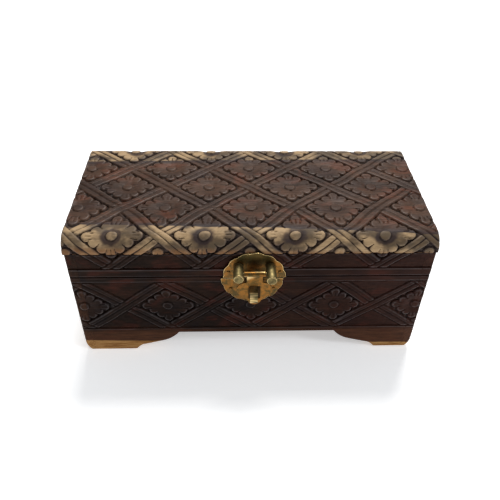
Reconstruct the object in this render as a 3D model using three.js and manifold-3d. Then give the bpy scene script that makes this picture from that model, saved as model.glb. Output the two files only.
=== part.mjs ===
// Carved wooden jewelry box with a hinged lid, bracket feet and a brass hasp lock.
// Millimetres, +Z up, front facing -Y, feet standing on Z = 0.

import * as THREE from "three";
import { mergeVertices } from "three/addons/utils/BufferGeometryUtils.js";
import Module from "manifold-3d";

const wasm = await Module();
wasm.setup();

// ---------------------------------------------------------------- driving sizes

// Wooden box
const boxWidth = 250; // outside of the side boards
const boxDepth = 123; // front face to back face
const bodyHeight = 75.3; // feet to the seam under the lid
const lidHeight = 32.7; // seam to the lid's top
const seamGap = 0.4; // lid rim to box rim
const jointGap = 0.3; // between glued boards and between seated pieces
const sideThickness = 7;
const wallThickness = 7; // front and back boards and rails
const topThickness = 12; // lid's top board
const topOverhang = 0.9; // past each side rail
const topEdgeRadius = 12; // its front and back upper edges
const footEdgeRadius = 4.5; // outer lower edge of each side board
const floorThickness = 5;
const floorSetUp = 1.5; // floor panel above the top of the arches

// Arches cut between the feet
const archHeight = 18.5;
const archOffset = 5; // front arch, right of the middle
const footLength = 33; // front and back feet, before the offset
const sideFootLength = 28;
const stepRun = 7; // first hollow, from the foot's tip
const stepRise = 5.2;
const rampRun = 14; // gentle slope between the two hollows
const sideRampRun = 6;
const rampRise = 4;
const coveRun = 12.5; // second hollow, up to the arch's top
const stepBend = 0.6; // where each hollow's curve turns, as a share of its run
const coveBend = 0.6;

// Lining
const liningThickness = 1.2;
const liningDrop = 1.5; // below the box rim
const padThickness = 4;
const lidPadThickness = 2.5;
const padMargin = 0.5; // round the two pads

// Lock plates
const plateRadius = 22.6;
const plateNarrowing = 0.968; // of the plates' width
const plateThickness = 1;
const plateSplit = 0.8; // between the two halves
const lobeCount = 14;
const lobeDepth = 0.9;
const lobeTurn = -6; // degrees that the scallops are turned round
const upperPlateX = 1.6;
const lowerPlateX = 0.4;
const nailHeadRadius = 1.3;
const nailHeadHeight = 0.7;
const nailShankRadius = 0.6;
const nailLength = 5.5; // under the head
const upperNailSpread = 17.6;
const upperNailRise = 5.5;
const lowerNailSpread = 15;
const lowerNailDrop = 10;

// Hasp, its posts and pin
const postRadius = 3.5;
const postSpacing = 22;
const postRise = 10.7; // above the seam
const leftPostLength = 13;
const rightPostLength = 14.5;
const postChamfer = 0.4;
const shankRadius = 1.6; // of the posts and the staple, through the plate
const shankLength = 6.5; // under the post or staple
const pinRadius = 1;
const pinStandOff = 7.7; // pin axis in front of the plates
const pinSocketDepth = 2;
const runningClearance = 0.1; // radial, round every pin
const endClearance = 0.4; // past the end of every pin, shank and knuckle
const haspThickness = 1;
const haspKnuckleRadius = 1.9;
const haspNeckWidth = 10.6;
const haspLength = 28; // pin axis to the tip
const haspTipRadius = 4.7;
const haspLobeRadius = 6.4;
const haspLobeSpread = 5.8; // lobe centre to the middle
const haspLobeDrop = 14; // lobe centre under the pin
const haspLobeEnd = 235; // degrees round the left lobe, where the waist begins
const haspTipStart = 190; // degrees round the tip, where the waist ends
const haspWaistPull = 0.45; // lower is a deeper waist
const slotWidth = 8.2;
const slotHeight = 12;
const slotDrop = 10.5; // pin axis to the slot's top
const slotCorner = 0.8;

// Staple
const stapleX = 1;
const stapleWidth = 5.2;
const stapleHeight = 9;
const stapleDrop = 6.5; // its middle under the seam
const stapleReach = 15.6; // in front of the plate
const stapleEyeLength = 6.5;
const stapleEyeWall = 1.9;
const stapleEyeCorner = 1.2;

// Hinges
const hingeSpread = 75; // each hinge's middle to the box's middle
const hingeWidth = 22;
const hingeLeafHeight = 14.5; // pin axis to the leaf's end
const hingeLeafThickness = 1;
const hingeKnuckleRadius = 2.2;
const hingeMiddleKnuckle = 8;
const hingePinRadius = 0.9;
const hingePinOverhang = 0.5;
const screwHeadRadius = 1.8;
const screwHeadHeight = 0.8;
const screwShankRadius = 0.8;
const screwLength = 6; // under the head
const screwSpread = 6.5;
const screwDrop = 8.5; // pin axis to the screws
const holeClearance = 0.2; // radial, round nails, screws and shanks

// ---------------------------------------------------------------- places worked out from them

const lidTop = bodyHeight + lidHeight;
const bodyTop = bodyHeight - seamGap / 2;
const railBottom = bodyHeight + seamGap / 2;
const railHeight = lidTop - topThickness - jointGap - railBottom;
const innerWidth = boxWidth - 2 * sideThickness;
const innerDepth = boxDepth - 2 * wallThickness;
const floorBottom = archHeight + floorSetUp;
const liningBottom = floorBottom + floorThickness + jointGap;
const liningHeight = bodyTop - liningDrop - liningBottom;
const wallY = (boxDepth - wallThickness) / 2;
const sideX = (boxWidth - sideThickness) / 2;
const plateY = -boxDepth / 2 - jointGap - plateThickness / 2;
const plateFrontY = plateY - plateThickness / 2;
const seatY = plateFrontY - jointGap; // where posts, staple and nail heads begin
const postZ = bodyHeight + postRise;
const haspPinY = plateFrontY - pinStandOff;
const leafY = boxDepth / 2 + jointGap + hingeLeafThickness / 2;
const screwSeatY = leafY + hingeLeafThickness / 2 + jointGap;
const hingeAxisY = boxDepth / 2 + jointGap + hingeKnuckleRadius;

// The origin is under the middle of wood and hardware together, so the wood stands a little behind it.
const frontReach = seatY - stapleReach;
const backReach = hingeAxisY + hingeKnuckleRadius;
const wholeMiddleY = (frontReach + backReach) / 2;

// ---------------------------------------------------------------- looks

const darkWood = new THREE.MeshStandardMaterial({ color: 0x3a241b, roughness: 0.55, metalness: 0 });
const topWood = new THREE.MeshStandardMaterial({ color: 0x6b5043, roughness: 0.6, metalness: 0 });
const brass = new THREE.MeshStandardMaterial({ color: 0xb98538, roughness: 0.35, metalness: 1 });
const velvet = new THREE.MeshStandardMaterial({ color: 0x6a1722, roughness: 0.95, metalness: 0 });

// ---------------------------------------------------------------- shaping helpers

const yzPlane = new THREE.Matrix4().set(0, 0, 1, 0, 1, 0, 0, 0, 0, 1, 0, 0, 0, 0, 0, 1);
const xzPlane = new THREE.Matrix4().set(1, 0, 0, 0, 0, 0, -1, 0, 0, 1, 0, 0, 0, 0, 0, 1);

// An outline drawn in the (Y, Z) or (X, Z) plane, given a thickness across that plane and centred on it.
function plateOf(outline, thickness, plane) {
  const settings = { depth: thickness, bevelEnabled: false, curveSegments: 12 };
  const geometry = new THREE.ExtrudeGeometry(outline, settings);
  return geometry.translate(0, 0, -thickness / 2).applyMatrix4(plane);
}

function barAlongY(radius, length) {
  return new THREE.CylinderGeometry(radius, radius, length, 24);
}

function barAlongX(radius, length) {
  return barAlongY(radius, length).rotateZ(Math.PI / 2);
}

function toSolid(geometry) {
  const bare = geometry.clone();
  bare.deleteAttribute("normal");
  bare.deleteAttribute("uv");
  const merged = mergeVertices(bare, 1e-5);
  const corners = merged.index.array;
  const triangles = [];
  for (let i = 0; i < corners.length; i += 3) {
    const [a, b, c] = corners.slice(i, i + 3);
    if (a !== b && b !== c && c !== a) triangles.push(a, b, c);
  }
  const vertProperties = new Float32Array(merged.attributes.position.array);
  const triVerts = new Uint32Array(triangles);
  return new wasm.Manifold(new wasm.Mesh({ numProp: 3, vertProperties, triVerts }));
}

function toGeometry(solid) {
  const mesh = solid.getMesh();
  const geometry = new THREE.BufferGeometry();
  geometry.setAttribute("position", new THREE.BufferAttribute(mesh.vertProperties, 3));
  geometry.setIndex(new THREE.BufferAttribute(mesh.triVerts, 1));
  return geometry;
}

function join(...pieces) {
  return toGeometry(pieces.map(toSolid).reduce((whole, next) => whole.add(next)));
}

function cut(body, tools) {
  return toGeometry(tools.map(toSolid).reduce((rest, tool) => rest.subtract(tool), toSolid(body)));
}

// Two (x, z) places at one height, left and right of middleX.
function pairOfPlaces(middleX, spread, z) {
  return [[middleX - spread, z], [middleX + spread, z]];
}

// Bars that cut a round hole along Y at each (x, z), from one y to another.
function drills(places, radius, fromY, toY) {
  const length = Math.abs(toY - fromY);
  return places.map(([x, z]) => barAlongY(radius, length).translate(x, (fromY + toY) / 2, z));
}

// A turned piece that stands on y = 0 and points to +Y, from (radius, height) pairs along its side.
function turned(profile) {
  const points = profile.map(([radius, height]) => new THREE.Vector2(radius, height));
  return toGeometry(toSolid(new THREE.LatheGeometry(points, 24)));
}

function piece(name, geometry, material, x, y, z) {
  const mesh = new THREE.Mesh(geometry, material.clone());
  mesh.name = name;
  mesh.position.set(x, y, z);
  return mesh;
}

// ---------------------------------------------------------------- wooden boards

// Points up one flank of an arch, measured inwards and upwards from the foot's tip.
function archFlank(ramp) {
  const rampEnd = stepRun + ramp;
  const rampTop = stepRise + rampRise;
  const flank = new THREE.Path();
  flank.moveTo(0, 0);
  flank.quadraticCurveTo(stepBend * stepRun, stepRise, stepRun, stepRise);
  flank.lineTo(rampEnd, rampTop);
  const turnRun = coveBend * coveRun;
  const turnRise = Math.min((turnRun * rampRise) / ramp, archHeight - rampTop);
  flank.quadraticCurveTo(rampEnd + turnRun, rampTop + turnRise, rampEnd + coveRun, archHeight);
  return flank.getPoints(6);
}

// A board standing on two feet, with an arch between them.
function footedOutline(length, archHalfWidth, archMiddle, ramp) {
  const flank = archFlank(ramp);
  const leftFlank = flank.map((p) => new THREE.Vector2(archMiddle - archHalfWidth + p.x, p.y));
  const rightFlank = flank.map((p) => new THREE.Vector2(archMiddle + archHalfWidth - p.x, p.y));
  return new THREE.Shape([
    new THREE.Vector2(-length / 2, 0),
    ...leftFlank,
    ...rightFlank.reverse(),
    new THREE.Vector2(length / 2, 0),
    new THREE.Vector2(length / 2, bodyTop),
    new THREE.Vector2(-length / 2, bodyTop),
  ]);
}

function wallBoard(archMiddle, holes) {
  const length = innerWidth - 2 * jointGap;
  const outline = footedOutline(length, boxWidth / 2 - footLength, archMiddle, rampRun);
  return cut(plateOf(outline, wallThickness, xzPlane), holes);
}

// A side board runs the full depth, and its outer lower edge is rounded.
// side is -1 on the left and 1 on the right.
function sideBoard(side) {
  const outline = footedOutline(boxDepth, boxDepth / 2 - sideFootLength, 0, sideRampRun);
  const outer = (side * sideThickness) / 2;
  const waste = new THREE.Shape();
  waste.moveTo(outer + side, -1);
  waste.lineTo(outer + side, footEdgeRadius);
  waste.lineTo(outer, footEdgeRadius);
  waste.quadraticCurveTo(outer, 0, outer - side * footEdgeRadius, 0);
  waste.lineTo(outer - side * footEdgeRadius, -1);
  return cut(plateOf(outline, sideThickness, yzPlane), [plateOf(waste, boxDepth + 2, xzPlane)]);
}

function topBoard() {
  const radius = Math.min(topEdgeRadius, topThickness);
  const arcY = boxDepth / 2 - radius;
  const arcZ = topThickness - radius;
  const outline = new THREE.Shape();
  outline.moveTo(-boxDepth / 2, 0);
  outline.lineTo(boxDepth / 2, 0);
  outline.absarc(arcY, arcZ, radius, 0, Math.PI / 2, false);
  outline.absarc(-arcY, arcZ, radius, Math.PI / 2, Math.PI, false);
  return toGeometry(toSolid(plateOf(outline, boxWidth + 2 * topOverhang, yzPlane)));
}

// A plain board, lining or pad that stands on z = 0.
function slab(width, depth, height) {
  return new THREE.BoxGeometry(width, depth, height).translate(0, 0, height / 2);
}

// ---------------------------------------------------------------- fastenings

// Pointed shank under a domed head, pointing to +Y with the head's underside on y = 0.
function domedFastener(headRadius, headHeight, radius, length) {
  const profile = [[0, -length], [radius, 2 * radius - length], [radius, 0]];
  const domeSteps = 4;
  for (let i = 0; i <= domeSteps; i++) {
    const angle = (i / domeSteps) * (Math.PI / 2);
    profile.push([headRadius * Math.cos(angle), headHeight * Math.sin(angle)]);
  }
  return turned(profile);
}

function nail() {
  return domedFastener(nailHeadRadius, nailHeadHeight, nailShankRadius, nailLength).rotateX(Math.PI);
}

function screw() {
  return domedFastener(screwHeadRadius, screwHeadHeight, screwShankRadius, screwLength);
}

// Blind holes in a front board or rail, from its outer face, for shanks that begin in front of a lock plate.
function frontPilotHoles(places, radius, shank) {
  const face = -wallThickness / 2;
  const depth = shank - plateThickness - 2 * jointGap + endClearance;
  return drills(places, radius + holeClearance, face - 1, face + depth);
}

function backPilotHoles(places) {
  const face = wallThickness / 2;
  const depth = screwLength - hingeLeafThickness - 2 * jointGap + endClearance;
  return drills(places, screwShankRadius + holeClearance, face + 1, face - depth);
}

// ---------------------------------------------------------------- lock

const upperNailPlaces = pairOfPlaces(upperPlateX, upperNailSpread, bodyHeight + upperNailRise);
const lowerNailPlaces = pairOfPlaces(lowerPlateX, lowerNailSpread, bodyHeight - lowerNailDrop);
const postPlaces = pairOfPlaces(upperPlateX, postSpacing / 2, postZ);
const staplePlaces = [[stapleX, bodyHeight - stapleDrop]];

// Half of a scalloped disc, drilled for its shanks and nails. side is 1 above the seam, -1 below.
function lockPlate(side, plateX, shankPlaces, nailPlaces) {
  const stepsPerLobe = 8;
  const steps = lobeCount * stepsPerLobe;
  const rim = [];
  for (let i = 0; i < steps; i++) {
    const angle = (i / steps) * 2 * Math.PI;
    const fullness = Math.abs(Math.cos((lobeCount / 2) * angle));
    const radius = plateRadius - lobeDepth * (1 - fullness);
    rim.push(new THREE.Vector2(radius * Math.cos(angle), radius * Math.sin(angle)));
  }
  const turn = Math.PI / 2 + THREE.MathUtils.degToRad(lobeTurn);
  const disc = plateOf(new THREE.Shape(rim), plateThickness, xzPlane);
  disc.rotateY(-turn).scale(plateNarrowing, 1, 1);
  const otherHalf = new THREE.BoxGeometry(3 * plateRadius, 3 * plateThickness, 2 * plateRadius);
  otherHalf.translate(0, 0, side * (plateSplit / 2 - plateRadius));
  const local = ([x, z]) => [x - plateX, z - bodyHeight];
  const through = 2 * plateThickness;
  return cut(disc, [
    otherHalf,
    ...drills(shankPlaces.map(local), shankRadius + holeClearance, -through, through),
    ...drills(nailPlaces.map(local), nailShankRadius + holeClearance, -through, through),
  ]);
}

// Round post with a shank that goes through the plate, and a socket for the hasp's pin on its inner side.
function haspPost(length, side) {
  const post = turned([
    [0, -shankLength],
    [shankRadius, -shankLength],
    [shankRadius, 0],
    [postRadius, 0],
    [postRadius, length - postChamfer],
    [postRadius - postChamfer, length],
    [0, length],
  ]).rotateX(Math.PI);
  const socket = barAlongX(pinRadius + runningClearance, 2 * pinSocketDepth);
  socket.translate(-side * postRadius, haspPinY - seatY, 0);
  return cut(post, [socket]);
}

// Hasp plate with a neck, two round lobes, a rounded tip and the slot, drawn round the pin's axis.
function haspOutline() {
  const halfNeck = haspNeckWidth / 2;
  const lobeStart = Math.acos((haspLobeSpread - halfNeck) / haspLobeRadius);
  const lobeEnd = THREE.MathUtils.degToRad(haspLobeEnd);
  const tipStart = THREE.MathUtils.degToRad(haspTipStart);
  const lobeX = haspLobeSpread - haspLobeRadius * Math.cos(lobeEnd);
  const lobeZ = haspLobeRadius * Math.sin(lobeEnd) - haspLobeDrop;
  const tipX = haspTipRadius * Math.cos(tipStart);
  const tipZ = haspTipRadius - haspLength;
  const waistX = haspLobeSpread - haspWaistPull * haspLobeRadius * Math.cos(lobeEnd);
  const waistZ = (tipZ + lobeZ) / 2;
  const outline = new THREE.Shape();
  outline.moveTo(halfNeck, 0);
  outline.lineTo(-halfNeck, 0);
  outline.absarc(-haspLobeSpread, -haspLobeDrop, haspLobeRadius, lobeStart, lobeEnd, false);
  outline.quadraticCurveTo(-waistX, waistZ, tipX, tipZ + haspTipRadius * Math.sin(tipStart));
  outline.absarc(0, tipZ, haspTipRadius, tipStart, 3 * Math.PI - tipStart, false);
  outline.quadraticCurveTo(waistX, waistZ, lobeX, lobeZ);
  const rightStart = Math.PI - lobeEnd;
  const rightEnd = Math.PI - lobeStart;
  outline.absarc(haspLobeSpread, -haspLobeDrop, haspLobeRadius, rightStart, rightEnd, false);
  outline.holes.push(roundedSlot(0, -slotDrop - slotHeight / 2, slotWidth, slotHeight, slotCorner));
  return outline;
}

// Rounded rectangle centred on (u, v).
function roundedSlot(u, v, width, height, corner) {
  const right = width / 2 - corner;
  const top = height / 2 - corner;
  const slot = new THREE.Path();
  slot.absarc(u + right, v + top, corner, 0, Math.PI / 2, false);
  slot.absarc(u - right, v + top, corner, Math.PI / 2, Math.PI, false);
  slot.absarc(u - right, v - top, corner, Math.PI, 1.5 * Math.PI, false);
  slot.absarc(u + right, v - top, corner, 1.5 * Math.PI, 2 * Math.PI, false);
  return slot;
}

function hasp() {
  const knuckleLength = postSpacing - 2 * postRadius - 2 * endClearance;
  const plate = plateOf(haspOutline(), haspThickness, xzPlane);
  const knuckle = barAlongX(haspKnuckleRadius, knuckleLength);
  const bore = barAlongX(pinRadius + runningClearance, knuckleLength + 2);
  return cut(join(plate, knuckle), [bore]);
}

// Staple: a round-nosed lug with a padlock eye in front of the hasp, and a shank into the front board.
function staple() {
  const half = stapleHeight / 2;
  const eyeMiddle = stapleEyeWall + stapleEyeLength / 2 - stapleReach;
  const side = new THREE.Shape();
  side.moveTo(0, -half);
  side.lineTo(0, half);
  side.absarc(half - stapleReach, 0, half, Math.PI / 2, 1.5 * Math.PI, false);
  side.holes.push(
    roundedSlot(eyeMiddle, 0, stapleEyeLength, stapleHeight - 2 * stapleEyeWall, stapleEyeCorner),
  );
  const shank = barAlongY(shankRadius, shankLength + 1).translate(0, (shankLength - 1) / 2, 0);
  return join(plateOf(side, stapleWidth, yzPlane), shank);
}

// ---------------------------------------------------------------- hinges

const hingeEndKnuckle = (hingeWidth - hingeMiddleKnuckle) / 2 - jointGap;
const screwPlaces = pairOfPlaces(0, screwSpread, screwDrop);

// One hinge leaf round its pin's axis, hanging down to -Z, with knuckles at the given (x, length) pairs.
function hingeLeaf(knuckles) {
  const axisToLeaf = leafY - hingeAxisY;
  const rollClearance = hingeKnuckleRadius + jointGap;
  const plate = slab(hingeWidth, hingeLeafThickness, hingeLeafHeight - rollClearance);
  plate.translate(0, axisToLeaf, -hingeLeafHeight);
  const rolls = knuckles.flatMap(([x, length]) => [
    barAlongX(hingeKnuckleRadius, length).translate(x, 0, 0),
    slab(length, hingeLeafThickness, rollClearance + 1).translate(x, axisToLeaf, -rollClearance - 1),
  ]);
  const bore = barAlongX(hingePinRadius + runningClearance, hingeWidth + 2);
  const holePlaces = screwPlaces.map(([x, z]) => [x, -z]);
  const nearY = axisToLeaf - 2 * hingeLeafThickness;
  const farY = axisToLeaf + 2 * hingeLeafThickness;
  const holes = drills(holePlaces, screwShankRadius + holeClearance, nearY, farY);
  return cut(join(plate, ...rolls), [bore, ...holes]);
}

function lowerHingeLeaf() {
  const x = (hingeWidth - hingeEndKnuckle) / 2;
  return hingeLeaf([[-x, hingeEndKnuckle], [x, hingeEndKnuckle]]);
}

// The upper leaf is turned about Y, so its plate stands up on the lid's rail.
function upperHingeLeaf() {
  return hingeLeaf([[0, hingeMiddleKnuckle]]).rotateY(Math.PI);
}

// ---------------------------------------------------------------- the three bodies

const hingePlaces = { left: -hingeSpread, right: hingeSpread };

// Hinge screws as (x, z) places, below the seam (side -1) or above it (side 1).
function hingeScrewPlaces(side) {
  return Object.values(hingePlaces).flatMap((hingeX) =>
    screwPlaces.map(([x, z]) => [hingeX + x, bodyHeight + side * z]),
  );
}

function addScrews(body, hingeName, leafName, hingeX, side) {
  screwPlaces.forEach(([x, z], i) => {
    const name = `${hingeName}_hinge_${leafName}_screw_${i + 1}`;
    body.add(piece(name, screw(), brass, hingeX + x, screwSeatY, bodyHeight + side * z));
  });
}

function addNails(body, plateName, places) {
  ["left", "right"].forEach((sideName, i) => {
    const [x, z] = places[i];
    body.add(piece(`${plateName}_plate_nail_${sideName}`, nail(), brass, x, seatY, z));
  });
}

function boxBody() {
  const body = new THREE.Group();
  const frontHoles = [
    ...frontPilotHoles(staplePlaces, shankRadius, shankLength),
    ...frontPilotHoles(lowerNailPlaces, nailShankRadius, nailLength),
  ];
  const backHoles = backPilotHoles(hingeScrewPlaces(-1));
  body.add(piece("front_board", wallBoard(archOffset, frontHoles), darkWood, 0, -wallY, 0));
  body.add(piece("back_board", wallBoard(0, backHoles), darkWood, 0, wallY, 0));
  body.add(piece("left_side_board", sideBoard(-1), darkWood, -sideX, 0, 0));
  body.add(piece("right_side_board", sideBoard(1), darkWood, sideX, 0, 0));
  const floor = slab(innerWidth - 2 * jointGap, innerDepth - 2 * jointGap, floorThickness);
  body.add(piece("floor_panel", floor, darkWood, 0, 0, floorBottom));

  const liningX = innerWidth / 2 - jointGap - liningThickness / 2;
  const liningY = innerDepth / 2 - jointGap - liningThickness / 2;
  const endLining = slab(liningThickness, innerDepth - 2 * jointGap, liningHeight);
  const longLining = slab(2 * liningX - liningThickness - 2 * jointGap, liningThickness, liningHeight);
  body.add(piece("left_lining", endLining, velvet, -liningX, 0, liningBottom));
  body.add(piece("right_lining", endLining, velvet, liningX, 0, liningBottom));
  body.add(piece("front_lining", longLining, velvet, 0, -liningY, liningBottom));
  body.add(piece("back_lining", longLining, velvet, 0, liningY, liningBottom));
  const padWidth = 2 * liningX - liningThickness - 2 * padMargin;
  const padDepth = 2 * liningY - liningThickness - 2 * padMargin;
  body.add(piece("floor_pad", slab(padWidth, padDepth, padThickness), velvet, 0, 0, liningBottom));

  const lowerPlate = lockPlate(-1, lowerPlateX, staplePlaces, lowerNailPlaces);
  body.add(piece("lower_lock_plate", lowerPlate, brass, lowerPlateX, plateY, bodyHeight));
  body.add(piece("staple", staple(), brass, stapleX, seatY, bodyHeight - stapleDrop));
  addNails(body, "lower", lowerNailPlaces);

  const hingePin = barAlongX(hingePinRadius, hingeWidth + 2 * hingePinOverhang);
  for (const [name, x] of Object.entries(hingePlaces)) {
    body.add(piece(`${name}_hinge_lower_leaf`, lowerHingeLeaf(), brass, x, hingeAxisY, bodyHeight));
    body.add(piece(`${name}_hinge_pin`, hingePin, brass, x, hingeAxisY, bodyHeight));
    addScrews(body, name, "lower", x, -1);
  }
  return body;
}

function haspBody() {
  const body = new THREE.Group();
  body.add(piece("hasp", hasp(), brass, upperPlateX, haspPinY, postZ));
  return body;
}

function lidBody() {
  const body = new THREE.Group();
  const railLength = innerWidth - 2 * jointGap;
  const rail = slab(railLength, wallThickness, railHeight).translate(0, 0, railBottom);
  const frontHoles = [
    ...frontPilotHoles(postPlaces, shankRadius, shankLength),
    ...frontPilotHoles(upperNailPlaces, nailShankRadius, nailLength),
  ];
  const sideRail = slab(sideThickness, boxDepth, railHeight);
  body.add(piece("lid_top_board", topBoard(), topWood, 0, 0, lidTop - topThickness));
  body.add(piece("lid_front_rail", cut(rail, frontHoles), darkWood, 0, -wallY, 0));
  body.add(piece("lid_back_rail", cut(rail, backPilotHoles(hingeScrewPlaces(1))), darkWood, 0, wallY, 0));
  body.add(piece("lid_left_rail", sideRail, darkWood, -sideX, 0, railBottom));
  body.add(piece("lid_right_rail", sideRail, darkWood, sideX, 0, railBottom));
  const lidPad = slab(innerWidth - 2 * padMargin, innerDepth - 2 * padMargin, lidPadThickness);
  const lidPadZ = lidTop - topThickness - jointGap - lidPadThickness;
  body.add(piece("lid_lining", lidPad, velvet, 0, 0, lidPadZ));

  const upperPlate = lockPlate(1, upperPlateX, postPlaces, upperNailPlaces);
  body.add(piece("upper_lock_plate", upperPlate, brass, upperPlateX, plateY, bodyHeight));
  const [leftPost, rightPost] = postPlaces;
  body.add(piece("hasp_post_left", haspPost(leftPostLength, -1), brass, leftPost[0], seatY, postZ));
  body.add(piece("hasp_post_right", haspPost(rightPostLength, 1), brass, rightPost[0], seatY, postZ));
  const pinLength = postSpacing - 2 * postRadius + 2 * (pinSocketDepth - endClearance);
  body.add(piece("hasp_pin", barAlongX(pinRadius, pinLength), brass, upperPlateX, haspPinY, postZ));
  addNails(body, "upper", upperNailPlaces);

  for (const [name, x] of Object.entries(hingePlaces)) {
    body.add(piece(`${name}_hinge_upper_leaf`, upperHingeLeaf(), brass, x, hingeAxisY, bodyHeight));
    addScrews(body, name, "upper", x, 1);
  }
  body.add(haspBody());
  return body;
}

const jewelryBox = new THREE.Group();
jewelryBox.add(boxBody(), lidBody());
jewelryBox.position.y = -wholeMiddleY;

export default jewelryBox;
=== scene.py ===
"""Looks of the carved wooden jewelry box: carved boards, aged brass, velvet lining, camera and light."""

import math

import bmesh
import bpy
import numpy as np
from mathutils import Matrix, Vector


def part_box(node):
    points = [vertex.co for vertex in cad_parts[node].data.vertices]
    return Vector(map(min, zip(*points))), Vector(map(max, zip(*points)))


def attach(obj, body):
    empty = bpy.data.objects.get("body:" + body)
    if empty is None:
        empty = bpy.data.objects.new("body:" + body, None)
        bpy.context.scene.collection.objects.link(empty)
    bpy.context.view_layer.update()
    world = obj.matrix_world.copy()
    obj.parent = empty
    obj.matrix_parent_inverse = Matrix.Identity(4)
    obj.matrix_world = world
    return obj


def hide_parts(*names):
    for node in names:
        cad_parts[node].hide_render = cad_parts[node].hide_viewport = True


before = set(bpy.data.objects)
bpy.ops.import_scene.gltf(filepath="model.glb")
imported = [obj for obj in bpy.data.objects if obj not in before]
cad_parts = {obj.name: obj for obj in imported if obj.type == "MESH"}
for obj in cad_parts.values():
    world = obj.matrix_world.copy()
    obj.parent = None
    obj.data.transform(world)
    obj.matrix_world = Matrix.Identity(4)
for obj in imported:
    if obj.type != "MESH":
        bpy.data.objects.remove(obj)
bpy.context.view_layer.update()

MM = 0.001

# Carving, in millimetres
GRID = 0.6  # spacing of a carved face's points
ROUGH_GRID = 1.6  # spacing on plain boards
RIBBON_HALF = 4.3
RIBBON_GROOVE_HALF = 0.9
RIBBON_GROOVE_DEPTH = 0.65
RIDGE_MIDDLE = 2.3  # crown of each of a ribbon's two ridges, from its centre line
RIDGE_FALL = 0.25
EDGE_LINE_HALF = 0.5  # line cut along each side of a ribbon
EDGE_LINE_DEPTH = 0.65
CELL_DEPTH = 0.35  # beside a ribbon
FLOWER_FOOT_DEPTH = 1.6  # beside a flower
FLOWER_FOOT_REACH = 4.0
PLAIN_CELL_DEPTH = 0.75
WALL_WIDTH = 0.5  # of the steep step round a flower
PETALS = ((16.0, 0.0, 3.7), (11.2, 4.9, 3.3), (5.8, 9.3, 3.3), (0.0, 13.0, 3.7))  # x, y, radius
CORE_X = 16.0  # the petals' common middle, a diamond
CORE_Y = 13.4
CORE_SWELL = 1.1
PETAL_ROUNDING = 1.6
PETAL_FALL = 0.3
NOTCH_DEPTH = 0.8
NOTCH_HALF = 0.55
NOTCH_OUT = 3.0
NOTCH_IN = 1.2
VEIN_START = 1.08  # outer end, as a share of the petal's distance
VEIN_LENGTH = 3.8
VEIN_DEPTH = 0.5
BUTTON_RADIUS = 3.7
BUTTON_FALL = 0.3
BUTTON_EDGE_IN = 0.2  # the button's side, either way of its radius
BUTTON_EDGE_OUT = 0.35
DISH_DEPTH = 1.25
DISH_REACH = 8.0
DISH_CURVE = 1.3  # over 1 is steeper near the button
WANDER = 0.35  # how far hand carving strays from its layout
WANDER_LENGTH = 35.0
FLOWER_VARIETY = 0.03  # in size, and in turn as radians
FLOWER_STRAY_U = 0.5
FLOWER_STRAY_V = 0.4
TOP_SKIM = 0.05  # about how far the highest wood lies under the CAD face
CHISEL_MARKS = ((0.08, 6.0), (0.05, 2.6))  # depth, length
CHISEL_FAINTEST = 0.2
RELIEF_BLUR = 2  # grid points, for telling ridges from grooves
FULL_RELIEF = 0.4
EDGE_EASE = 0.6  # rounding of a board's edges
JOINT = 0.2  # how far a board is drawn into the glued joint at its ends
CORNER_RADIUS = 1.4  # the box's upright front corners
FOOT_WIDTH = 5.5  # rounding of the side boards' lower outer edges
FOOT_HEIGHT = 9.0
END_FADE = 2.2  # the lid's carving runs shallow this close to its ends
SIDE_MARGIN = 5.0  # plain wood up the front and back of each side
FACE_SHARP_ANGLE = 50.0  # degrees
METAL_SHARP_ANGLE = 20.0
WELD = 0.002  # points closer than this are one

# Each carving's first random seed, and the rows of diamonds that hold flowers
LID_SEED = 11
SIDE_RAIL_SEED = 31
FRONT_SEED = 41
SIDE_SEED = 61
LID_ROWS = (-3, -2, -1, 0, 1, 2)
FRONT_RAIL_ROWS = (-2,)
BODY_ROWS = (0,)
NO_ROWS = ()

# The carved pattern's layout, in millimetres
LID_HALF_X = 30.0
LID_HALF_Y = 25.8
LID_DRIFT = 0.106  # the pattern leans left down the lid's front, per millimetre
LID_DRIFT_FROM = -45.0
LID_SPREAD = 0.012  # and its front row is a little wider than the rest
LID_SPREAD_FROM = 30.0
LID_SPREAD_TO = 50.0
LID_SHIFT = 1.2  # the pattern's flat part sits this far back
LID_STRETCH = 4.2  # and its front row this much lower again
LID_STRETCH_FROM = 26.0
LID_STRETCH_TO = 52.0
SIDE_RAIL_RISE = 1.6  # the side rails' pattern, in rows above the rail's lower edge
RAIL_MARGIN = 7.1  # plain wood along the lid's lower edge
FIELD_TOP_MARGIN = 5.1  # plain wood along the box's rim
FIELD_LOW_MARGIN = 5.0  # plain wood above the arches
FLOOR_SET_UP = 1.5  # floor panel above the arches
FRONT_FLOWER_SCALE = 0.9
BORDER_DEPTH = 1.3
BORDER_HALF = 0.6

# Where the woods' colours change, in millimetres. A lean is a line's rise per millimetre to the right.
REDDER_FROM = -20.0  # along the front
REDDER_TO = 125.0
BROWNER_FROM = 25.0  # down to the feet
BROWNER_TO = 17.0
FOOT_PALE_TOP = 8.3  # sapwood at the feet
FOOT_PALE_LEAN = -0.025
FRONT_BAND_EDGE = -40.5  # back edge of the lid's front band
FRONT_BAND_LEAN = -0.043
FRONT_BAND_BOW = -0.0001
BACK_BAND_EDGE = 46.0  # front edge of the lid's back band
BACK_BAND_LEAN = 0.016
BAND_LOW_FROM = 100.5  # the front band's browner lower edge
BAND_LOW_TO = 96.5
BAND_LOW_LEAN = -0.02

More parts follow.
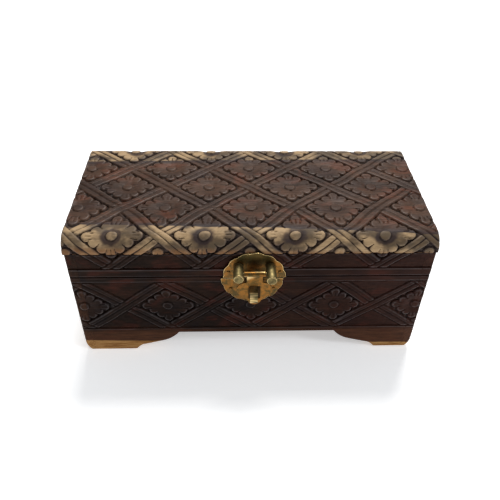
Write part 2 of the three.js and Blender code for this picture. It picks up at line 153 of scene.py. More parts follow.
# Metalwork, in millimetres
SLOT_WIDTH = 0.6  # the screws' driver slots
SLOT_DEPTH = 0.5
SLOT_SEED = 91
NAIL_BEVEL = 0.05
SCREW_BEVEL = 0.05
LEAF_BEVEL = 0.2
HINGE_PIN_BEVEL = 0.15
HASP_SHADE_GRIME_CLEAR = 15.0  # from the hasp's middle, where the painted shade and grime above the hasp end
HASP_SHADE_GRIME_FULL = 9.0
HASP_SHADE_GRIME_LOW = 85.0
HASP_SHADE_GRIME_HIGH = 91.0
SLOT_SHADE_GRIME_CLEAR = 7.0  # and the same behind the hasp's slot
SLOT_SHADE_GRIME_FULL = 5.5
SLOT_SHADE_GRIME_HIGH = 81.0
SLOT_SHADE_GRIME_LOW = 78.0
# node: body, width of its broken edges, shortest edge that is broken
PLATES = {
    "upper_lock_plate": ("lid", 0.4, 0.45),
    "lower_lock_plate": ("base", 0.4, 0.45),
}
HASPS = {"hasp": ("hasp", 0.4, 0.45)}
POSTS = {
    "hasp_post_left": ("lid", 0.2, 0.0),
    "hasp_post_right": ("lid", 0.2, 0.0),
    "hasp_pin": ("lid", 0.2, 0.0),
    "staple": ("base", 0.4, 0.3),
}

# Velvet, in millimetres
PAD_VOXEL = 2.0  # the pads are only 2.5 and 4 mm thick
PAD_PRESSURE = 4
PAD_SWELL = 0.9  # the most that a point may move
PAD_FRAMES = 20
PAD_HELD = 0.6  # voxels from the glued side
PAD_EDGE = 1.2
LINING_EDGE = 0.7

# Camera, in degrees, metres and millimetres
CAMERA_YAW = 2.752
CAMERA_PITCH = 40.275
CAMERA_ROLL = 1.468
CAMERA_PLACE = (-0.0152, -0.33595, 0.33765)
CAMERA_SENSOR = 36
CAMERA_LENS = 40.0

# Light: name, elevation, azimuth, strength, softness, colour
SUNS = (
    ("key_light", 56, 12, 3.0, 22, (1.0, 0.99, 0.97)),
    ("side_light", 32, 112, 0.8, 12, (0.92, 0.95, 1.0)),
)
WORLD_STRENGTH = 0.35
WORLD_COLOUR = (0.94, 0.97, 1.0)
FLOOR_SIZE = 6  # metres
FLOOR_GLOW = 0.45


# ---------------------------------------------------------------- small helpers


def corners(node):
    """A CAD node's lowest and highest corners, in millimetres."""
    low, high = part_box(node)
    return np.array(low) / MM, np.array(high) / MM


def smooth_step(x, start, end):
    t = np.clip((x - start) / (end - start), 0, 1)
    return t * t * (3 - 2 * t)


def waves(seed, wavelength, u, v):
    """A smooth, seeded, random field of about -1 to 1."""
    rng = np.random.default_rng(seed)
    total = np.zeros(np.broadcast(u, v).shape)
    count = 7
    shortest = 0.6
    longest = 1.7
    for _ in range(count):
        angle = rng.uniform(0, 2 * math.pi)
        number = 2 * math.pi / (wavelength * rng.uniform(shortest, longest))
        phase = rng.uniform(0, 2 * math.pi)
        total += np.sin(number * (u * math.cos(angle) + v * math.sin(angle)) + phase)
    return total / math.sqrt(count)


def spread(low, high, spacing):
    """Even places from low to high, about a spacing apart."""
    return np.linspace(low, high, max(2, round((high - low) / spacing) + 1))


def eased(distance, radius):
    """How far a rounded edge lies under the face, at a distance in from the edge."""
    inside = np.clip(radius - distance, 0, radius)
    return radius - np.sqrt(radius * radius - inside * inside)


def to_segment(x, y, start, end):
    """Distance from points to a line segment."""
    run = (end[0] - start[0], end[1] - start[1])
    along = ((x - start[0]) * run[0] + (y - start[1]) * run[1]) / (run[0] ** 2 + run[1] ** 2)
    along = np.clip(along, 0, 1)
    return np.hypot(x - start[0] - along * run[0], y - start[1] - along * run[1])


# ---------------------------------------------------------------- carving as a height field


def flower(x, y):
    """(distance outside the petals' outline, height inside it) round a flower's centre."""
    x, y = np.abs(x), np.abs(y)
    outline = (x / CORE_X + y / CORE_Y - 1) / math.hypot(1 / CORE_X, 1 / CORE_Y) - CORE_SWELL
    for petal_x, petal_y, radius in PETALS:
        outline = np.minimum(outline, np.hypot(x - petal_x, y - petal_y) - radius)
    height = -PETAL_FALL * np.clip(1 + outline / PETAL_ROUNDING, 0, 1) ** 2
    for (ax, ay, _), (bx, by, _) in zip(PETALS, PETALS[1:]):
        middle = np.array([ax + bx, ay + by]) / 2
        outward = middle / np.hypot(*middle)
        reach = to_segment(x, y, middle + NOTCH_OUT * outward, middle - NOTCH_IN * outward)
        height -= NOTCH_DEPTH * np.clip(1 - reach / NOTCH_HALF, 0, 1)
    for petal_x, petal_y in (PETALS[0][:2], PETALS[-1][:2]):
        outer = np.array([petal_x, petal_y]) * VEIN_START
        inner = outer * (1 - VEIN_LENGTH / np.hypot(*outer))
        height -= VEIN_DEPTH * np.clip(1 - to_segment(x, y, outer, inner) / NOTCH_HALF, 0, 1)
    radius = np.hypot(x, y)
    dish = -DISH_DEPTH * np.clip(1 - (radius - BUTTON_RADIUS) / DISH_REACH, 0, 1) ** DISH_CURVE
    button = -BUTTON_FALL * np.clip(radius / BUTTON_RADIUS, 0, 1) ** 2
    outside_button = smooth_step(radius, BUTTON_RADIUS - BUTTON_EDGE_IN, BUTTON_RADIUS + BUTTON_EDGE_OUT)
    height = np.minimum(height, 0) + dish
    return outline, button * (1 - outside_button) + height * outside_button


def ribbon(distance):
    """Height across a ribbon: a V-groove between two low ridges."""
    groove = RIBBON_GROOVE_DEPTH * np.clip(1 - distance / RIBBON_GROOVE_HALF, 0, 1)
    fall = RIDGE_FALL * ((distance - RIDGE_MIDDLE) / RIDGE_MIDDLE) ** 2
    return -groove - fall


def edge_line(distance):
    return EDGE_LINE_DEPTH * np.exp(-(((distance - RIBBON_HALF) / EDGE_LINE_HALF) ** 2))


def lattice(u, v, half_u, half_v, rising_over, flower_rows, flower_scale, seed):
    """Height of crossing ribbons with a flower in each diamond.

    Ribbons cross at (0, 0) and every half_u, half_v. rising_over is 0 where the ribbons that rise to the
    right lie on top in the even rows, and 1 where they do so in the odd ones. flower_rows says which rows of
    diamonds hold flowers; the others are sunk and plain."""
    u = u + WANDER * waves(seed, WANDER_LENGTH, u, v)
    v = v + WANDER * waves(seed + 1, WANDER_LENGTH, u, v)
    s, t = u / half_u, v / half_v
    reach = half_u * half_v / math.hypot(half_u, half_v)
    rising, falling = np.round((s - t) / 2), np.round((s + t) / 2)
    to_rising = np.abs(s - t - 2 * rising) * reach
    to_falling = np.abs(s + t - 2 * falling) * reach
    rising_on_top = np.mod(falling - rising, 2) == rising_over
    over = np.where(rising_on_top, to_rising, to_falling)
    under = np.where(rising_on_top, to_falling, to_rising)

    i, j = np.floor((s + t) / 2).astype(int), np.floor((s - t) / 2).astype(int)
    row = i - j
    count = 24  # more diamonds than a board has, each way
    draws = np.random.default_rng(seed + 2).uniform(-1, 1, (4, count, count))
    size_chance, turn_chance, u_chance, v_chance = draws[:, i % count, j % count]
    size = flower_scale * (1 + FLOWER_VARIETY * size_chance)
    turn = FLOWER_VARIETY * turn_chance
    x = (u - (i + j + 1) * half_u - FLOWER_STRAY_U * u_chance) / size
    y = (v - row * half_v - FLOWER_STRAY_V * v_chance) / size
    outline, petals = flower(x * np.cos(turn) + y * np.sin(turn), y * np.cos(turn) - x * np.sin(turn))
    foot = 1 - smooth_step(outline, WALL_WIDTH, FLOWER_FOOT_REACH)
    ground = -CELL_DEPTH - (FLOWER_FOOT_DEPTH - CELL_DEPTH) * foot
    wall = smooth_step(outline, 0, WALL_WIDTH)
    with_flower = petals * (1 - wall) + ground * wall
    cell = np.where(np.isin(row, flower_rows), with_flower, -PLAIN_CELL_DEPTH)

    height = np.where(under < RIBBON_HALF, ribbon(under), cell) - edge_line(under)
    height = np.where(over < RIBBON_HALF, ribbon(over), height) - edge_line(over)
    (coarse, coarse_length), (fine, fine_length) = CHISEL_MARKS
    chisel = coarse * waves(seed + 3, coarse_length, u, v) + fine * waves(seed + 4, fine_length, u, v)
    return np.minimum(height, -TOP_SKIM) + chisel * np.clip(-height, CHISEL_FAINTEST, 1)


def in_field(height, v, low, high):
    """A carved field between two border lines, with plain wood outside them."""
    inside = (v > low) & (v < high)
    border = np.minimum(np.abs(v - low), np.abs(v - high))
    line = BORDER_DEPTH * np.clip(1 - border / BORDER_HALF, 0, 1)
    plain = 0.06 * waves(5, 22, v * 0.3, v)
    return np.minimum(np.where(inside, height, np.minimum(plain, 0)), -line)


# ---------------------------------------------------------------- closed meshes


def box_blur(values, reach):
    """Mean of a grid's values over a square of 2 * reach + 1 points a side."""
    width = 2 * reach + 1
    for axis in (0, 1):
        count = values.shape[axis]
        before = np.repeat(values.take([0], axis), reach + 1, axis)
        after = np.repeat(values.take([-1], axis), reach, axis)
        total = np.cumsum(np.concatenate([before, values, after], axis), axis)
        upper = total.take(range(width, width + count), axis)
        values = (upper - total.take(range(count), axis)) / width
    return values


def solid_from_face(name, face, back, height):
    """A closed mesh: a grid of face points, its border joined to back's same border, and one face behind.

    face and back are in millimetres. height, the carving's, is kept on the points as carve and ridge."""
    columns, rows = face.shape[:2]
    index = np.arange(columns * rows).reshape(columns, rows)
    border = np.concatenate([index[:, 0], index[-1, 1:], index[-2::-1, -1], index[0, -2:0:-1]])
    points = np.concatenate([face.reshape(-1, 3), back.reshape(-1, 3)[border]]) * MM
    quads = np.stack([index[:-1, :-1], index[1:, :-1], index[1:, 1:], index[:-1, 1:]], -1).reshape(-1, 4)
    behind = np.arange(len(border)) + columns * rows
    strip = np.stack([border, behind, np.roll(behind, -1), np.roll(border, -1)], -1)
    mesh = bpy.data.meshes.new(name)
    mesh.from_pydata(points.tolist(), [], quads.tolist() + strip.tolist() + [behind.tolist()])
    relief = height - box_blur(height, RELIEF_BLUR)
    layers = {
        "carve": np.clip(-height / FLOWER_FOOT_DEPTH, 0, 1),
        "ridge": np.clip(relief / FULL_RELIEF, -1, 1),
    }
    for layer, values in layers.items():
        data = np.concatenate([values.ravel(), np.zeros(len(border))]).astype(np.float32)
        mesh.attributes.new(layer, "FLOAT", "POINT").data.foreach_set("value", data)
    return finished(name, mesh, FACE_SHARP_ANGLE)


def finished(name, mesh, sharp_angle):
    """Welds a mesh, points its faces outwards, and shades it smooth except at sharp edges."""
    work = bmesh.new()
    work.from_mesh(mesh)
    bmesh.ops.remove_doubles(work, verts=work.verts, dist=WELD * MM)
    bmesh.ops.recalc_face_normals(work, faces=work.faces)
    work.to_mesh(mesh)
    work.free()
    mesh.shade_smooth()
    mesh.set_sharp_from_angle(angle=math.radians(sharp_angle))
    piece = bpy.data.objects.new(name, mesh)
    bpy.context.scene.collection.objects.link(piece)
    return piece


def lower_outline(node, across):
    """The lower edge of a footed CAD board as a function of the place along it, in millimetres."""
    points = np.array([v.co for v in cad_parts[node].data.vertices]) / MM
    low, high = points.min(0), points.max(0)
    points = points[points[:, 2] < (low[2] + high[2]) / 3]
    places, group = np.unique(np.round(points[:, across], 2), return_inverse=True)
    lowest = np.full(len(places), np.inf)
    np.minimum.at(lowest, group.ravel(), points[:, 2])
    return lambda u: np.interp(u, places, lowest)


def flat_board(name, node, axis, side, height_at, spacing=GRID, lower_edge=None, ease=EDGE_EASE, joint=0.0):
    """A board that stands for a CAD node, with its face on one side along an axis worked to height_at(u, v).

    joint is how far its ends reach into the glued joints there; with one, the ends aren't eased."""
    low, high = corners(node)
    across, up = (1 if axis == 0 else 0), (1 if axis == 2 else 2)
    low[across] -= joint
    high[across] += joint
    u = spread(low[across], high[across], spacing)
    share = spread(0, 1, spacing / (high[up] - low[up]))
    bottom = lower_edge(u) if lower_edge else np.full(len(u), low[up])
    v = bottom[:, None] + (high[up] - bottom)[:, None] * share[None, :]
    u = np.repeat(u[:, None], v.shape[1], 1)
    to_edge = np.minimum(v - bottom[:, None], high[up] - v)
    if not joint:
        to_edge = np.minimum(to_edge, np.minimum(u - low[across], high[across] - u))
    height = height_at(u, v) - eased(to_edge, ease)
    face = np.zeros(u.shape + (3,))
    face[..., across] = u
    face[..., up] = v
    back = face.copy()
    outer, inner = (high, low) if side > 0 else (low, high)
    face[..., axis] = outer[axis] + side * height
    back[..., axis] = inner[axis]
    piece = solid_from_face(name, face, back, height)
    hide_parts(node)
    return piece


def corner_board(name, node, side, front_at, outer_at, lower_edge=None):
    """A side board worked on its front edge and, round an eased corner, on its outer face.

    A board with a lower edge of its own is footed, and its lower outer edge is well rounded."""
    low, high = corners(node)
    thickness = high[0] - low[0]
    joint_x = (high if side < 0 else low)[0]
    front_run = thickness - CORNER_RADIUS
    arc = CORNER_RADIUS * math.pi / 2
    travel = spread(0, front_run + arc + high[1] - low[1] - CORNER_RADIUS, GRID)
    bend = np.clip((travel - front_run) / CORNER_RADIUS, 0, math.pi / 2)[:, None]
    across = np.minimum(travel, front_run)[:, None]
    y = low[1] + CORNER_RADIUS + np.clip(travel - front_run - arc, 0, None)[:, None]
    bottom = lower_edge(y) if lower_edge else np.full(y.shape, low[2])
    v = bottom + (high[2] - bottom) * spread(0, 1, GRID / (high[2] - low[2]))[None, :]
    front = front_at(joint_x + side * (across + CORNER_RADIUS * np.sin(bend)) + 0 * v, v)
    outer = outer_at(y + 0 * v, v)
    share = bend / (math.pi / 2)
    height = front * (1 - share) + outer * share
    height -= eased(np.minimum(v - bottom, high[2] - v), EDGE_EASE)
    height -= share * eased(high[1] - y, EDGE_EASE)
    radius = CORNER_RADIUS + height
    rounding = eased((v - low[2]) * FOOT_WIDTH / FOOT_HEIGHT, FOOT_WIDTH) if lower_edge else 0.0
    squeeze = 1 - rounding / thickness
    x = joint_x + side * (across + radius * np.sin(bend)) * squeeze
    face = np.stack([x, y - radius * np.cos(bend), v], -1)
    back = face.copy()
    back[..., 0] = joint_x
    piece = solid_from_face(name, face, back, height)
    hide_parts(node)
    return piece


def dress(piece, body, material):
    piece.data.materials.clear()
    piece.data.materials.append(material)
    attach(piece, body)
    return piece


# ---------------------------------------------------------------- wooden boards

field_low = corners("floor_panel")[0][2] - FLOOR_SET_UP + FIELD_LOW_MARGIN
field_high = corners("front_board")[1][2] - FIELD_TOP_MARGIN
field_middle = (field_low + field_high) / 2
field_half = (field_high - field_low) / 2
lid_low, lid_high = corners("lid_top_board")
lid_middle_y = (lid_low[1] + lid_high[1]) / 2
lid_radius = lid_high[2] - lid_low[2]
lid_flat = (lid_high[1] - lid_low[1]) / 2 - lid_radius
lid_reach = lid_flat + lid_radius * math.pi / 2
side_half_u = (lid_high[1] - lid_low[1]) / 4


def lid_pattern(u, v, flower_rows):
    """The lid's carving, with v unrolled over the rounded edges and on down its front."""
    wider = 1 - LID_SPREAD * smooth_step(-v, LID_SPREAD_FROM, LID_SPREAD_TO)
    leaning = u * wider + LID_DRIFT * np.clip(LID_DRIFT_FROM - v, 0, None)
    lowered = v - LID_SHIFT + LID_STRETCH * smooth_step(-v, LID_STRETCH_FROM, LID_STRETCH_TO)
    return lattice(leaning, lowered, LID_HALF_X, LID_HALF_Y, 1, flower_rows, 1.0, LID_SEED)


def lid_top_board():
    """The lid's thick top, carved over its flat and round its front and back edges."""
    u = spread(lid_low[0], lid_high[0], GRID)
    v = spread(-lid_reach, lid_reach, GRID)
    u, v = np.meshgrid(u, v, indexing="ij")
    to_end = lid_high[0] - np.abs(u)
    faded = lid_pattern(u, v, LID_ROWS) * smooth_step(to_end, -END_FADE, END_FADE)
    height = faded - eased(to_end, EDGE_EASE)
    bend = np.clip((np.abs(v) - lid_flat) / lid_radius, 0, math.pi / 2)
    out, up = np.sin(bend), np.cos(bend)
    flat = np.minimum(np.abs(v), lid_flat)
    y = lid_middle_y + np.sign(v) * (flat + (lid_radius + height) * out)
    face = np.stack([u, y, lid_low[2] + (lid_radius + height) * up], -1)
    back = face.copy()
    back[..., 2] = lid_low[2]
    piece = solid_from_face("carved_lid_top", face, back, height)
    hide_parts("lid_top_board")
    return piece


def rail_height(u, v, margin_top):
    """The lid's front rail: the lid's own pattern, down to a plain margin."""
    carved = lid_pattern(u, v - lid_low[2] - lid_reach, FRONT_RAIL_ROWS)
    return in_field(carved, v, margin_top, lid_high[2])


def side_rail_height(u, v, margin_top):
    """The lid's side rails: ribbons only, between the margins."""
    along = u - lid_middle_y
    raised = v - lid_low[2] - LID_HALF_Y * SIDE_RAIL_RISE
    carved = lattice(along, raised, side_half_u, LID_HALF_Y, 1, NO_ROWS, 1.0, SIDE_RAIL_SEED)
    return framed(in_field(carved, v, margin_top, lid_high[2]), u)


def body_pattern(u, v, half_u, seed):
    """One row of diamonds between the box's rim and its arches."""
    return lattice(u, v - field_middle, half_u, field_half, 0, BODY_ROWS, FRONT_FLOWER_SCALE, seed)


def front_height(u, v):
    carved = body_pattern(u - LID_HALF_X, v, LID_HALF_X, FRONT_SEED)
    return in_field(carved, v, field_low, field_high)


def framed(height, u):
    """The side's carving between two upright margins."""
    to_margin = np.abs(u - lid_middle_y) - (lid_high[1] - lid_low[1]) / 2 + SIDE_MARGIN
    line = BORDER_DEPTH * np.clip(1 - np.abs(to_margin) / BORDER_HALF, 0, 1)
    return np.minimum(np.where(to_margin < 0, height, 0), -line)


def side_height(u, v):
    carved = body_pattern(u - lid_middle_y - side_half_u, v, side_half_u, SIDE_SEED)
    return framed(in_field(carved, v, field_low, field_high), u)


def plain_height(u, v):
    """Hand-planed wood: long low swells and small ripples, all just under the face."""
    return 0.12 * waves(71, 60, u * 0.3, v) + 0.05 * waves(72, 9, u * 0.2, v) - 0.17


def make_boards(wood, side_wood, lid_wood):
    rail_low = corners("lid_front_rail")[0][2]
    margin_top = rail_low + RAIL_MARGIN
    dress(lid_top_board(), "lid", lid_wood)
    rail = flat_board(
        "carved_front_rail", "lid_front_rail", 1, -1, lambda u, v: rail_height(u, v, margin_top), joint=JOINT
    )
    dress(rail, "lid", wood)
    front_edge = lower_outline("front_board", 0)
    front = flat_board(
        "carved_front_board", "front_board", 1, -1, front_height, lower_edge=front_edge, joint=JOINT
    )
    dress(front, "base", wood)
    back_edge = lower_outline("back_board", 0)
    back = flat_board(
        "plain_back_board", "back_board", 1, 1, plain_height, ROUGH_GRID, back_edge, joint=JOINT
    )
    dress(back, "base", wood)
    back_rail = flat_board("plain_back_rail", "lid_back_rail", 1, 1, plain_height, ROUGH_GRID, joint=JOINT)
    dress(back_rail, "lid", wood)
    floor = flat_board("floor_board", "floor_panel", 2, -1, plain_height, ROUGH_GRID)
    dress(floor, "base", wood)
    for name, side in (("left", -1), ("right", 1)):
        node = f"{name}_side_board"
        side_edge = lower_outline(node, 1)
        board = corner_board(f"carved_{name}_side", node, side, front_height, side_height, side_edge)
        dress(board, "base", side_wood)
        rail = corner_board(
            f"carved_{name}_rail",
            f"lid_{name}_rail",
            side,
            lambda u, v: rail_height(u, v, margin_top),
            lambda u, v: side_rail_height(u, v, margin_top),
        )
        dress(rail, "lid", side_wood)


# ---------------------------------------------------------------- metalwork


def bevelled_copy(name, node, width, shortest=0.0):
    """A copy of a CAD node's mesh with its edges broken, standing for the node.

    Edges made of pieces under the shortest length, such as small holes' rims, stay as they are."""
    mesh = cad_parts[node].data.copy()
    mesh.name = name
    work = bmesh.new()
    work.from_mesh(mesh)
    bmesh.ops.remove_doubles(work, verts=work.verts, dist=WELD * MM)
    flat_angle = math.radians(1)
    bmesh.ops.dissolve_limit(work, angle_limit=flat_angle, verts=work.verts, edges=work.edges)
    sharp_angle = math.radians(35)  # of the edges that are broken
    sharp = [
        edge
        for edge in work.edges
        if edge.is_manifold and edge.calc_face_angle() > sharp_angle and edge.calc_length() > shortest * MM
    ]
    made = bmesh.ops.bevel(
        work, geom=sharp, offset=width * MM, segments=3, profile=0.6, affect="EDGES", clamp_overlap=True
    )
    # marks the bevels' middles, painted bright later as rubbed wear and painted rim highlight
    rubbed_and_lit = work.verts.layers.float.new("edge")
    broken = {face for face in made["faces"] if face.is_valid}
    for vert in work.verts:
        vert[rubbed_and_lit] = 1.0 if broken.issuperset(vert.link_faces) else 0.0
    work.to_mesh(mesh)
    work.free()
    piece = finished(name, mesh, METAL_SHARP_ANGLE)
    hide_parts(node)
    return piece


def make_lock(brass, hasp_brass, pale_brass):
    for pieces, finish in ((PLATES, brass), (HASPS, hasp_brass), (POSTS, pale_brass)):
        for node, (body, width, shortest) in pieces.items():
            dress(bevelled_copy(f"brass_{node}", node, width, shortest), body, finish)
    for body, plate in (("lid", "upper"), ("base", "lower")):
        for side in ("left", "right"):
            node = f"{plate}_plate_nail_{side}"
            dress(bevelled_copy(f"brass_{node}", node, NAIL_BEVEL), body, brass)


def applied(piece):
    """Makes a piece's mesh the result of its modifiers, and drops them."""
    graph = bpy.context.evaluated_depsgraph_get()
    mesh = bpy.data.meshes.new_from_object(piece.evaluated_get(graph))
    piece.modifiers.clear()
    piece.data = mesh


def cut_slot(screw, node, turn):
    """Cuts a driver's slot across a screw's head, which faces backwards."""
    low, high = corners(node)
    middle = Vector((low + high) / 2)
    middle.y = high[1]
    bpy.ops.mesh.primitive_cube_add(size=MM)
    cutter = bpy.context.object
    size = Matrix.Diagonal((2 * (high[0] - low[0]), 2 * SLOT_DEPTH, SLOT_WIDTH, 1))
    cutter.matrix_world = Matrix.Translation(middle * MM) @ Matrix.Rotation(turn, 4, "Y") @ size
    cut = screw.modifiers.new("slot", "BOOLEAN")
    cut.object = cutter
    cut.operation = "DIFFERENCE"
    applied(screw)
    bpy.data.objects.remove(cutter)


def make_hinges(brass):
    turns = np.random.default_rng(SLOT_SEED)
    for name in ("left", "right"):
        for body, leaf in (("base", "lower"), ("lid", "upper")):
            node = f"{name}_hinge_{leaf}_leaf"
            dress(bevelled_copy(f"brass_{node}", node, LEAF_BEVEL), body, brass)
            for number in (1, 2):
                node = f"{name}_hinge_{leaf}_screw_{number}"
                screw = bevelled_copy(f"brass_{node}", node, SCREW_BEVEL)
                cut_slot(screw, node, turns.uniform(0, math.pi))
                dress(screw, body, brass)
        node = f"{name}_hinge_pin"
        dress(bevelled_copy(f"brass_{node}", node, HINGE_PIN_BEVEL), "base", brass)


# ---------------------------------------------------------------- velvet


def velvet_height(u, v):
    """Slight unevenness of stuck-down cloth, all just under the face."""
    return 0.1 * waves(81, 28, u, v) + 0.05 * waves(82, 8, u, v) - 0.15


def make_linings(velvet):
    for name, axis, side in (("front", 1, 1), ("back", 1, -1), ("left", 0, 1), ("right", 0, -1)):
        node = f"{name}_lining"
        panel = flat_board(f"velvet_{node}", node, axis, side, velvet_height, ROUGH_GRID, ease=LINING_EDGE)
        dress(panel, "base", velvet)


def places_of(mesh):
    """A mesh's points, in millimetres."""
    places = np.empty(len(mesh.vertices) * 3)
    mesh.vertices.foreach_get("co", places)
    return places.reshape(-1, 3) / MM


def puff(pad, node, soft_side):
    """Fills a pad out with a short cloth simulation. Its glued side, away from soft_side, stays flat."""
    remesh = pad.modifiers.new("remesh", "REMESH")
    remesh.mode = "VOXEL"
    remesh.voxel_size = PAD_VOXEL * MM
    applied(pad)
    low, high = corners(node)
    before = places_of(pad.data)
    from_glue = before[:, 2] - low[2] if soft_side > 0 else high[2] - before[:, 2]
    held = pad.vertex_groups.new(name="held")
    held.add(np.flatnonzero(from_glue < PAD_VOXEL * PAD_HELD).tolist(), 1.0, "REPLACE")
    cloth = pad.modifiers.new("cloth", "CLOTH")
    cloth.settings.quality = 5
    cloth.settings.use_pressure = True
    cloth.settings.uniform_pressure_force = PAD_PRESSURE
    cloth.settings.effector_weights.gravity = 0
    cloth.settings.vertex_group_mass = "held"
    cloth.point_cache.frame_start = 1
    cloth.point_cache.frame_end = PAD_FRAMES
    for step in range(1, PAD_FRAMES + 1):
        bpy.context.scene.frame_set(step)
    applied(pad)
    bpy.context.scene.frame_set(1)
    move = places_of(pad.data) - before
    length = np.linalg.norm(move, axis=1, keepdims=True)
    after = before + move * np.minimum(1, PAD_SWELL / np.maximum(length, 1e-6))
    after[:, :2] = np.clip(after[:, :2], low[:2], high[:2])
    pad.data.vertices.foreach_set("co", (after * MM).ravel())
    pad.vertex_groups.clear()
    smoother = pad.modifiers.new("smoother", "SUBSURF")
    smoother.levels = 1
    applied(pad)
    pad.data.shade_smooth()


def make_pad(name, node, body, velvet):
    soft_side = 1 if body == "base" else -1
    pad = flat_board(name, node, 2, soft_side, velvet_height, ROUGH_GRID, ease=PAD_EDGE)
    puff(pad, node, soft_side)
    return dress(pad, body, velvet)


# ---------------------------------------------------------------- materials


def tint(red, green, blue):
    """An sRGB colour, 0 to 255, as a linear one."""
    values = [c / 255 for c in (red, green, blue)]
    return (*[c / 12.92 if c <= 0.04045 else ((c + 0.055) / 1.055) ** 2.4 for c in values], 1)


class Shader:
    """One material and short calls for its nodes. Lengths are millimetres."""

    def __init__(self, name):
        self.material = bpy.data.materials.new(name)
        self.material.use_nodes = True
        self.tree = self.material.node_tree
        self.surface = self.tree.nodes["Principled BSDF"]
        place = self.add("ShaderNodeTexCoord", {}).outputs["Object"]
        self.place = self.add("ShaderNodeVectorMath", {0: place, 3: 1 / MM}, operation="SCALE").outputs[0]
        self.x, self.y, self.z = self.add("ShaderNodeSeparateXYZ", {0: self.place}).outputs

    def add(self, kind, inputs, **settings):
        node = self.tree.nodes.new(kind)
        for key, value in settings.items():
            setattr(node, key, value)
        for key, value in inputs.items():
            self.put(node.inputs[key], value)
        return node

    def put(self, socket, value):
        if isinstance(value, bpy.types.NodeSocket):
            self.tree.links.new(value, socket)
        else:
            socket.default_value = value

    def math(self, operation, a, b=0.0):
        return self.add("ShaderNodeMath", {0: a, 1: b}, operation=operation).outputs[0]

    def ramp(self, value, start, end, low=0.0, high=1.0):
        """A smooth change from low to high as value goes from start to end."""
        inputs = {"Value": value, "From Min": start, "From Max": end, "To Min": low, "To Max": high}
        return self.add("ShaderNodeMapRange", inputs, interpolation_type="SMOOTHSTEP").outputs[0]

    def noise(self, size, stretch=(1, 1, 1), detail=3.0, roughness=0.55, distortion=0.0, shift=0.0):
        """Noise whose lumps are about size wide, drawn out by stretch along each axis."""
        scale = tuple(1 / (size * s) for s in stretch)
        inputs = {"Vector": self.place, "Scale": scale, "Location": (shift,) * 3}
        place = self.add("ShaderNodeMapping", inputs)
        inputs = {
            "Vector": place.outputs[0],
            "Scale": 1.0,
            "Detail": detail,
            "Roughness": roughness,
            "Distortion": distortion,
        }
        return self.add("ShaderNodeTexNoise", inputs).outputs["Fac"]

    def mix(self, share, a, b, mode="MIX"):
        node = self.add("ShaderNodeMix", {0: share, 6: a, 7: b}, data_type="RGBA", blend_type=mode)
        return node.outputs[2]

    def layer(self, name):
        return self.add("ShaderNodeAttribute", {}, attribute_name=name).outputs["Fac"]

    def bump(self, height, depth, strength=1.0):
        node = self.add("ShaderNodeBump", {"Height": height, "Distance": depth * MM, "Strength": strength})
        return node.outputs[0]


def wood_tones(shader, grain, dark, middle, red, grey):
    """Colour of oiled wood: broad patches, long streaks and short dark pores along the grain."""
    def along(factor):
        return tuple(factor if axis == grain else 1 for axis in range(3))

    broad = shader.noise(26, along(2.6), detail=2, shift=3)
    patches = shader.noise(13, along(1.8), detail=3, distortion=0.6, shift=11)
    streaks = shader.noise(1.3, along(9), detail=4, roughness=0.7)
    pores = shader.noise(0.55, along(9), detail=2, shift=7)
    colour = shader.mix(shader.ramp(broad, 0.35, 0.65), dark, middle)
    colour = shader.mix(shader.ramp(patches, 0.5, 0.68, 0, 0.5), colour, red)
    colour = shader.mix(shader.ramp(patches, 0.5, 0.32, 0, 0.6), colour, grey)
    shade = shader.ramp(streaks, 0.3, 0.7, 0.62, 1.32)
    shade = shader.add("ShaderNodeCombineColor", {0: shade, 1: shade, 2: shade}).outputs[0]
    colour = shader.mix(1.0, colour, shade, "MULTIPLY")
    pore_mask = shader.ramp(pores, 0.62, 0.72, 0, 0.45)
    pore_colour = tint(14, 9, 7)
    colour = shader.mix(pore_mask, colour, pore_colour)
    return colour, streaks, pores


def finish_wood(shader, colour, streaks, pores, hollow_shade, wear_and_highlight, ridge_lightening, shine, gloss):
    """Painted shade in the carving's deep hollows and creases, wear and painted highlight on its ridges, and
    the wood's gloss and grain relief.
    """
    carve = shader.layer("carve")
    ridge = shader.layer("ridge")
    # Ridges are made lighter: wear, and a painted highlight where ridges would catch the light
    on_ridge = shader.ramp(ridge, 0.15, 0.9)
    rubbed_and_lit = shader.math("MULTIPLY", on_ridge, shader.ramp(streaks, 0.35, 0.65, 0.1 * ridge_lightening, ridge_lightening))
    colour = shader.mix(rubbed_and_lit, colour, wear_and_highlight)
    # Painted shade: darker in the deep carving and in narrow creases
    colour = shader.mix(shader.ramp(carve, 0.6, 1.0, 0, 0.45), colour, hollow_shade)
    colour = shader.mix(shader.ramp(ridge, -0.2, -0.9, 0, 0.6), colour, hollow_shade)
    shader.put(shader.surface.inputs["Base Color"], colour)
    glossy = shader.ramp(ridge, 0.15, 0.9, gloss, gloss + 0.2)
    shader.put(shader.surface.inputs["Specular IOR Level"], glossy)
    rough = shader.ramp(streaks, 0.3, 0.7, shine + 0.1, shine - 0.06)
    shader.put(shader.surface.inputs["Roughness"], rough)
    relief = shader.math("ADD", streaks, shader.math("MULTIPLY", pores, 0.5))
    shader.put(shader.surface.inputs["Normal"], shader.bump(relief, 0.12, 0.7))
    return shader.material


